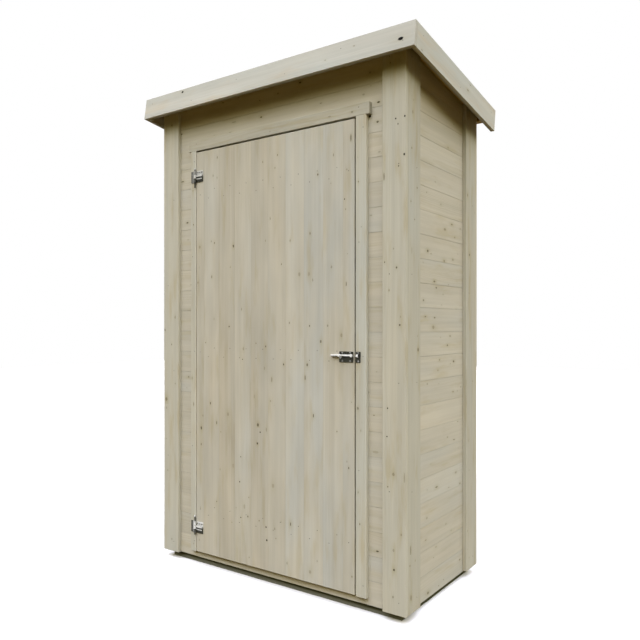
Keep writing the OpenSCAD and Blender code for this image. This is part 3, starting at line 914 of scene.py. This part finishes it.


# Hinges: a leaf on the casing with two rolls and the pin, and a leaf on the door with one

# Each rib is its height over the leaf's middle, its width, how far it stands out and the
# dullness of its upper flank, a painted highlight over painted shade on its lower flank. The pin's
# end is pairs of a distance and how much less than its radius it is there, and each fade is how far
# in from two edges the zinc starts to go dark and dull and has gone so: across the frame leaf,
# down the door leaf as painted shade, and down the pin from a painted highlight at its top. The pin
# has two more rings for its fade.
hingeShape = {"leaf": 0.002, "roll": 0.0055, "gap": 0.0005, "pin": 0.003,
              "pinEnd": ((0, 0.0012), (0.0006, 0.00024), (0.0015, 0)), "corner": 0.003,
              "pinCorner": 0.0003, "rollArris": 0.0002, "curlEnd": -203, "screwUp": 0.0158,
              "frameScrew": 0.0115, "frameRoll": 0.7, "doorRoll": 0.1, "pinRings": (0.012, 0.008),
              "frameFade": (0.004, 0.012), "doorFade": (0.010, 0.002), "pinTopHighlight": (0.003, 0.010),
              "dull": {"top": (0.66, 0.50), "bottom": (1.0, 0.25)},
              "doorScrews": (0.0085, 0.0205, 0.0325), "doorScrewUp": 0.0168,
              "ribs": ((0.0012, 0.0125, 0.0030, 0.0), (-0.0118, 0.0080, 0.0016, 0.3)),
              "ribStart": 0.001, "ribEnd": 0.007, "ribRun": 0.012, "ribLeast": 0.02}
h = hingeShape


def fade(axis, start, stop, low, high):
    # The first value of tone goes from low where the axis passes start to high where it passes stop.
    # On zinc it is how dark and dull the metal is, which on several hinge and bolt parts is painted
    # shade and painted highlight.
    def tone(points):
        share = np.clip((points[:, axis:axis + 1] - start) / (stop - start), 0, 1)
        return np.concatenate([low + (high - low) * share, share * 0, share * 0], 1)
    return tone


def addLeaf(surface, pin, side, reach, span, rolls, tone):
    # Side is -1 for the leaf on the casing and 1 for the one on the door.
    start, middle = h["roll"] + h["gap"], h["roll"] - h["leaf"] / 2
    curl = arc(0, 0, middle, 90, h["curlEnd"], 30) * [-side, 1]
    section = ribbon([np.array([[side * start, middle], [side * start / 2, middle]]), curl],
                     h["leaf"])
    for low, high, dull in rolls:
        addSlab(surface, np.array([pin[0], pin[1], low]), right, back, section, high - low,
                (dull, 0, 0), h["rollArris"])
    width, tall = reach - start, span[1] - span[0]
    # The two corners beside the pin are nearly square.
    atRight, atLeft = (h["corner"] if free else h["pinCorner"] for free in (side > 0, side < 0))
    outline = roundedBox(width, tall, [atRight, atLeft, atLeft, atRight])
    face = pin[1] + h["roll"]
    addSlab(surface, np.array([pin[0] + side * (start + width / 2), face, (span[0] + span[1]) / 2]),
            right, top, outline, h["leaf"], tone)
    return pin[0] + side * start, face - h["leaf"]


for name in ("top", "bottom"):
    leafLow, leafHigh = corners(name + "_hinge_door_leaf")
    low, high = corners(name + "_hinge_frame_leaf")
    pin = (high[0] - h["roll"], high[1] - h["roll"])
    third, middle = (leafHigh[2] - leafLow[2]) / 3, (leafHigh[2] + leafLow[2]) / 2
    span = leafLow[2], leafHigh[2]
    frameLeaf, doorLeaf = Surface(), Surface()
    edge, face = addLeaf(frameLeaf, pin, -1, pin[0] - low[0], span,
                         [(span[0], span[0] + third, h["frameRoll"]),
                          (span[1] - third, span[1], h["dull"][name][1])],
                         fade(0, low[0] + h["frameFade"][0], high[0] - h["frameFade"][1],
                              *h["dull"][name]))
    for turn, up in ((0.3, h["screwUp"]), (1.1, -h["screwUp"])):
        addScrew(frameLeaf, np.array([edge - h["frameScrew"], face, middle + up]), -back, turn, 0.6)
    pinTop = [*((far, 0) for far in h["pinRings"]), *h["pinEnd"][::-1]]
    # The pin is bright at its top end, a painted highlight, and darker below it.
    addTurned(frameLeaf, np.array([pin[0], pin[1], low[2]]), top,
              turnedProfile(high[2] - low[2], h["pin"], h["pinEnd"], pinTop),
              fade(2, *(high[2] - far for far in h["pinTopHighlight"]), 0.0, 0.9), sides=24)
    frameLeaf.piece(name + "HingeFrameLeaf", "shed", "hinge_steel", hingeZinc,
                    [name + "_hinge_frame_leaf"])
    # The door leaf is bright at its top and darker downwards: painted light and painted shade.
    edge, face = addLeaf(doorLeaf, pin, 1, leafHigh[0] - pin[0], span,
                         [(span[0] + third + h["gap"], span[1] - third - h["gap"],
                           h["doorRoll"])],
                         fade(2, span[1] - h["doorFade"][0], span[0] + h["doorFade"][1], 0.0, 1.2))
    for i, along in enumerate(h["doorScrews"]):
        for up in (h["doorScrewUp"], -h["doorScrewUp"]):
            addScrew(doorLeaf, np.array([edge + along, face, middle + up]), -back, i * 0.9 + up, 1.0)
    # The ribs on the door leaf: half ellipses that sink into it along a quarter ellipse.
    quarter = np.linspace(0, math.pi / 2, 7)
    far = np.concatenate([[edge - h["ribStart"]], leafHigh[0] - h["ribEnd"] - h["ribRun"]
                          * (1 - np.sin(quarter))])
    half = np.radians(np.linspace(-10, 190, 15))
    for up, wide, tall, shine in h["ribs"]:
        tall = tall * np.append([1, 1], np.cos(quarter)[1:] + h["ribLeast"])
        rings = np.stack([np.broadcast_to(far[:, None], (len(far), len(half))),
                          face - tall[:, None] * np.sin(half),
                          np.broadcast_to(middle + up + wide / 2 * np.cos(half),
                                          (len(far), len(half)))], -1)
        # Each rib is bright on its upper flank and dark below it: a painted highlight over painted
        # shade.
        doorLeaf.loft(rings, tone=fade(2, middle + up + wide / 4, middle + up - wide / 2,
                                       shine, 1.0))
    doorLeaf.piece(name + "HingeDoorLeaf", "door", "hinge_steel", hingeZinc,
                   [name + "_hinge_door_leaf"], smooth=40)

# Barrel bolt

# The bar and its knob are radii, and their starts and ends are pairs of a distance and how much
# less than the radius they are there.
boltShape = {"bar": 0.004, "barStart": ((0, 0.0008), (0.0008, 0)),
             "barEnd": ((0.003, 0), (0.0012, 0.0006), (0, 0.0018)),
             "clear": 0.0006, "strap": 0.009, "strapThick": 0.0015, "foot": 0.003,
             "strapFade": (0.004, 0.001), "barFade": 0.003, "bend": 0.0015, "bendGap": 0.002,
             "plate": 0.0015, "corner": 0.003, "plateDull": 0.95, "knobDull": 0.6,
             "screwIn": 0.017, "screwUp": 0.0150, "knob": 0.0035, "knobFar": 0.017,
             "knobIn": 0.016, "droop": 35,
             "knobStart": ((0, 0.0009), (0.0065, 0.0009), (0.0072, 0.0004), (0.0082, 0)),
             "knobEnd": ((0.0014, 0), (0.0004, 0.0006), (0, 0.0017))}
b = boltShape
barLow, barHigh = corners("bolt_bar")
barLine = np.array([0, barHigh[1] - b["bar"], barHigh[2] - b["bar"]])
plateLow, plateHigh = corners("bolt_plate")
plateFace = plateHigh[1] - b["plate"]
strapMiddle = b["bar"] + b["clear"] + b["strapThick"] / 2
depth = plateFace - barLine[1] - b["strapThick"] / 2
# A strap's line: a foot, up beside the bar, over it in half a circle, and down to a foot.
foot, bend = strapMiddle + b["foot"], b["bend"]
strapPath = [np.array([[depth, foot], [depth, strapMiddle + b["bendGap"]]]),
             arc(depth - bend, strapMiddle + bend, bend, 0, -90, 5),
             arc(0, 0, strapMiddle, 90, 270, 19),
             arc(depth - bend, -strapMiddle - bend, bend, 90, 0, 5),
             np.array([[depth, -strapMiddle - b["bendGap"]], [depth, -foot]])]
strapOutline = ribbon(strapPath, b["strapThick"])


def addBoltPlate(surface, low, high, straps, screws):
    width, tall = high[0] - low[0], high[2] - low[2]
    addSlab(surface, np.array([(low[0] + high[0]) / 2, high[1], (low[2] + high[2]) / 2]), right, top,
            roundedBox(width, tall, [b["corner"]] * 4), b["plate"], (b["plateDull"], 0, 0))
    for x in straps:
        addSlab(surface, np.array([x, barLine[1], barLine[2]]), back, top, strapOutline, b["strap"],
                fade(1, barLine[1] - b["strapFade"][0], barLine[1] + b["strapFade"][1], 0.25, 1.0))
    for i, x in enumerate(screws):
        for up in (-b["screwUp"], b["screwUp"]):
            addScrew(surface, np.array([x, plateFace, (low[2] + high[2]) / 2 + up]), -back,
                     i + up * 50, 0.55)


plate, keeper, bar = Surface(), Surface(), Surface()
middle = (plateLow[0] + plateHigh[0]) / 2
addBoltPlate(plate, plateLow, plateHigh, (plateLow[0], plateHigh[0] - b["strap"]),
             (middle - b["screwIn"], middle + b["screwIn"]))
plate.piece("boltPlate", "door", "bolt_steel", boltZinc, ["bolt_plate"], smooth=40)
low, high = corners("bolt_keeper")
middle = (low[0] + high[0]) / 2
addBoltPlate(keeper, low, high, (middle - b["strap"] / 2,), (middle,))
keeper.piece("boltKeeper", "shed", "bolt_steel", boltZinc, ["bolt_keeper"], smooth=40)
# The bar is bright above its axis and darker under it: painted shade on its underside.
addTurned(bar, barLine + [barLow[0], 0, 0], right,
          turnedProfile(barHigh[0] - barLow[0], b["bar"], b["barStart"], b["barEnd"]),
          fade(2, barLine[2], barLine[2] - b["barFade"], 0.0, 1.0), sides=28)
droop = math.radians(b["droop"])
knobWay = np.array([0, -math.cos(droop), -math.sin(droop)])
addTurned(bar, barLine + [plateLow[0] + b["knobIn"], 0, 0], knobWay,
          turnedProfile(b["knobFar"], b["knob"], b["knobStart"], b["knobEnd"]),
          (b["knobDull"], 0, 0), sides=24)
bar.piece("boltBar", "bolt", "bolt_steel", boltZinc, ["bolt_bar"], smooth=40)
print("hinges and bolt")

# Roof

roofShape = {"board": 0.0885, "rail": 0.028}
dice = np.random.default_rng(47)
onSlope = {"box": slopeBox, "settle": tilt}
boardPiece("roofBoards", "roof_boards", back, -top, "roof_wood", deckWood,
           evenSpans(deckLow[0], deckHigh[0], roofShape["board"]), matched=True, **onSlope)
for node, along, axis in (("cross_rails", right, 1), ("side_rails", back, 0)):
    low, high = slopeBox(node)
    boardPiece(pieceName(node), node, along, -top, "frame_wood", deckWood,
               atEnds(low[axis], high[axis], roofShape["rail"]), axis, **onSlope)
# Heights on the fascias are counted off the roof boards.
fasciaSpots = {"front_fascia": ((0.627, -0.030, -0.0088), (-0.443, 0.013, -0.0060)),
               "right_fascia": ((0.0395, -0.056, 0.0042), (0.4355, -0.019, 0.0046))}
fasciaTones = {"front_fascia": fade(0, 0.2, deckHigh[0], 0.3, -1.2),
               "left_fascia": (0.5, 0.2, 0.31), "right_fascia": (2.2, 0.9, 0.73)}
for node, along, out in (("front_fascia", right, -back), ("left_fascia", -back, -right),
                         ("right_fascia", back, right)):
    # On each fascia the lower arris is painted lighter, a painted highlight, the underside is painted
    # shade that darkens towards the back, and the top edge is darker.
    boardPiece(pieceName(node), node, along, out, "fascia_wood", fasciaWood,
               section=planedProfile(1, -4, 4), perMetre=3, tone=fasciaTones[node],
               spots=spotsOn(*slopeBox(node), out, fasciaSpots.get(node, ())), freshEnds=0.1,
               **onSlope)

# Felt: a lower sheet that turns down over the rear edge and an upper one that laps over it

feltShape = {"thick": 0.0024, "wave": 0.0004, "lap": 0.075, "columns": 60, "rows": 26,
             "fold": 0.002, "drop": 0.030, "climb": 0.024, "seat": 0.0003, "clout": 0.005,
             "edgeInset": 0.03, "lapInset": 0.018, "foldInset": 0.016, "lapPitch": 0.05,
             "foldPitch": 0.10}
f = feltShape
deckTop = deckHigh[2]


def addFelt(surface, path, shift):
    # A sheet along a path of v and n. Its upper face stands off by its thickness and two slow
    # waves: sin(31 x + 14 v) + sin(17 x - 23 v).
    off = leftOf(path)
    x = np.linspace(deckLow[0], deckHigh[0], f["columns"])
    v = path[:, :1]
    wave = (np.sin(31 * x + 14 * v + shift) + np.sin(17 * x - 23 * v + shift)) * f["wave"] / 2
    stand = f["thick"] + wave * (np.minimum(v - path[0, 0], path[-1, 0] - v) > 0.001)
    over = path[:, None] + off[:, None] * stand[..., None]
    under = np.broadcast_to(path[:, None], over.shape)
    flat = np.concatenate([under, over[:, ::-1]], 1)
    wide = np.broadcast_to(np.concatenate([x, x[::-1]])[None, :, None], (*flat.shape[:2], 1))
    surface.loft(tilt(np.concatenate([wide, flat], -1)))


felt, clouts = Surface(), Surface()
halfWay = (deckLow[1] + deckHigh[1]) / 2
rows = np.linspace(halfWay, deckHigh[1] - f["fold"], f["rows"])
lower = np.stack([rows, np.full(f["rows"], deckTop)], 1)
turn = arc(deckHigh[1] - f["fold"], deckTop - f["fold"], f["fold"], 90, 0, 6)[1:]
down = np.stack([np.full(4, deckHigh[1]),
                 np.linspace(deckTop - f["fold"] - 0.004, deckTop - f["drop"], 4)], 1)
addFelt(felt, np.concatenate([lower, turn, down]), 0.0)
rows = np.linspace(deckLow[1], halfWay + f["lap"], f["rows"])
climb = np.clip((rows - halfWay + f["climb"] / 2) / f["climb"], 0, 1)
climb = f["thick"] * climb * climb * (3 - 2 * climb)
addFelt(felt, np.stack([rows, deckTop + climb + f["seat"] * (climb > 0)], 1), 2.0)
felt.piece("slatedFelt", "shed", "roof_felt", roofFelt, ["roof_felt"])
inner = (deckLow[0] + f["edgeInset"], deckHigh[0] - f["edgeInset"])
for pitch, far, height, out in (
        (f["lapPitch"], halfWay + f["lap"] - f["lapInset"],
         deckTop + 2 * f["thick"] + f["wave"], offSlope),
        (f["foldPitch"], deckHigh[1] + f["thick"], deckTop - f["foldInset"], downSlope)):
    for x in np.linspace(*inner, round((inner[1] - inner[0]) / pitch)):
        addNail(clouts, tilt(np.array([x, far, height])), out, f["clout"] / nailShape["radius"])
clouts.piece("cloutNails", "shed", "hinge_steel", hingeZinc)
print("roof")

# Nails in the trims, the fascias and the door

nailRows = {"pitch": 0.42, "fasciaPitch": 0.30, "endInset": 0.045, "aside": 0.20,
            "pair": (0.3, 0.7), "narrow": 0.06}
shedNails, doorNails = Surface(), Surface()


def addNailRow(surface, low, high, out, pitch, settle=None):
    # Nails along the face of a board that looks towards out, to either side of its middle in turn.
    low, high = np.array(low), np.array(high)
    size = high - low
    axis, face = faceOf(low, high, out)
    along = int(np.argmax(size))
    across = 3 - along - axis
    count = max(2, round(size[along] / pitch))
    inset = nailRows["endInset"]
    for i, far in enumerate(np.linspace(inset, size[along] - inset, count + 1)):
        place = (low + high) / 2
        place[axis] = face
        place[along] = low[along] + far
        place[across] += size[across] * nailRows["aside"] * (-1) ** i
        addNail(surface, place if settle is None else settle(place), out)


for node, out in (*trimFacing.items(), ("header_board", -back)):
    addNailRow(shedNails, *corners(node), out, nailRows["pitch"])
for node, out in (("front_fascia", -downSlope), ("left_fascia", -right), ("right_fascia", right)):
    addNailRow(shedNails, *slopeBox(node), out, nailRows["fasciaPitch"], tilt)
shedNails.piece("shedNails", "shed", "hinge_steel", hingeZinc)
low, high = corners("door_boards")
for foot in ledgeFeet:
    for a, b in zip(edges[:-1], edges[1:]):
        # Two nails across a whole board and one in a narrow one, at each ledge.
        for share in (nailRows["pair"] if b - a > nailRows["narrow"] else (0.5,)):
            addNail(doorNails, np.array([a + (b - a) * share, low[1],
                                         foot + ledgeShape["height"] * share]), -back)
doorNails.piece("doorNails", "door", "hinge_steel", hingeZinc)
print("nails")

# Camera

cameraSet = {"place": (1.6866, -2.3416, 1.0393), "turn": 35.34, "lens": 36.83,
             "sensor": 36.0, "shiftY": 0.0106}
camera = bpy.data.objects.new("camera", bpy.data.cameras.new("camera"))
camera.data.lens, camera.data.sensor_width = cameraSet["lens"], cameraSet["sensor"]
camera.data.shift_y = cameraSet["shiftY"]
camera.location = cameraSet["place"]
camera.rotation_euler = (math.pi / 2, 0, math.radians(cameraSet["turn"]))
bpy.context.scene.collection.objects.link(camera)
bpy.context.scene.camera = camera

# Floor, sky and lamp. The floor and the sky look white, and give the shed only the light
# that falls from above on an overcast day.

lightSet = {"strength": 6.0, "base": 0.86, "fromFrontRight": 0.24, "floorSeen": 0.8,
            "floorReach": 14.0, "floorBounce": (0.072, 0.044, 0.006),
            "sky": ((0.0, (0.0, 0.0, 0.0)), (0.20, (0.0, 0.0, 0.0)), (0.34, (0.06, 0.052, 0.010)),
                    (0.47, (0.31, 0.284, 0.165)), (0.60, (0.62, 0.602, 0.520)),
                    (0.71, (0.77, 0.77, 0.860)), (0.80, (0.95, 0.970, 1.18)),
                    (0.90, (0.70, 0.715, 0.87)), (1.0, (0.25, 0.26, 0.30))),
            "elsewhere": ((0.0, (0.0, 0.0, 0.0)), (0.20, (0.0, 0.0, 0.0)),
                          (0.34, (0.10, 0.086, 0.025)), (0.41, (0.36, 0.326, 0.165)),
                          (0.53, (0.69, 0.66, 0.53)), (0.64, (0.86, 0.870, 0.96)),
                          (0.74, (0.46, 0.465, 0.52)),
                          (0.83, (0.30, 0.31, 0.37)), (0.906, (0.54, 0.56, 0.72)),
                          (1.0, (0.64, 0.66, 0.84))),
            "frontEdge": (-0.55, -0.20),
            "lamp": 24.0, "lampSize": 2.0, "lampPlace": (-0.6, -2.6, 5.2)}
ground = bpy.data.meshes.new("ground")
reach = lightSet["floorReach"]
ground.from_pydata([(-reach, -reach, 0), (reach, -reach, 0), (reach, reach, 0), (-reach, reach, 0)],
                   [], [(0, 1, 2, 3)])
groundPiece = bpy.data.objects.new("groundPlane", ground)
bpy.context.scene.collection.objects.link(groundPiece)


def seenOnly(p):
    # One for what the camera, a reflection or a view through glass meets, else nothing.
    rays = [p.node("LightPath", output=name) for name in
            ("Is Camera Ray", "Is Glossy Ray", "Is Transmission Ray")]
    return p.calc("MAXIMUM", p.calc("MAXIMUM", rays[0], rays[1]), rays[2])


p = Paint("paleGround")
seen, dim = lightSet["floorSeen"], lightSet["floorBounce"]
groundPaint = p.shade(Base_Color=p.mix(seenOnly(p), dim, (seen, seen, seen)),
                      Roughness=0.9, Specular_IOR_Level=0.0)
ground.materials.append(groundPaint)

sky = Paint("paleSky", bpy.data.worlds)
bpy.context.scene.world = sky.owner
east, north, height = sky.parts(sky.node("TexCoord", output="Generated"))
before, aside = (sky.node("ValToRGB", {"stops": [(place, (*tint, 1)) for place, tint in stops]},
                         {0: height}) for stops in (lightSet["sky"], lightSet["elsewhere"]))
lit = sky.mix(sky.ease(north, *lightSet["frontEdge"]), before, aside)
white = seenOnly(sky)
backdrop = sky.tree.nodes["Background"]
facing = lightSet["base"] + (east - north) * lightSet["fromFrontRight"]
strength = facing * lightSet["strength"]
sky.tree.links.new(sky.mix(white, lit, (1, 1, 1)).socket, backdrop.inputs["Color"])
sky.tree.links.new((strength + white * (1.0 - strength)).socket, backdrop.inputs["Strength"])

lamp = bpy.data.objects.new("softLamp", bpy.data.lights.new("softLamp", "AREA"))
lamp.data.energy, lamp.data.size = lightSet["lamp"], lightSet["lampSize"]
lamp.location = lightSet["lampPlace"]
aim = np.array([0, 0, 1.0]) - np.array(lightSet["lampPlace"])
lamp.rotation_euler = (math.atan2(math.hypot(aim[0], aim[1]), -aim[2]), 0,
                       math.atan2(-aim[0], aim[1]))
bpy.context.scene.collection.objects.link(lamp)
bpy.context.scene.view_settings.view_transform = "Standard"
print("stage and light")
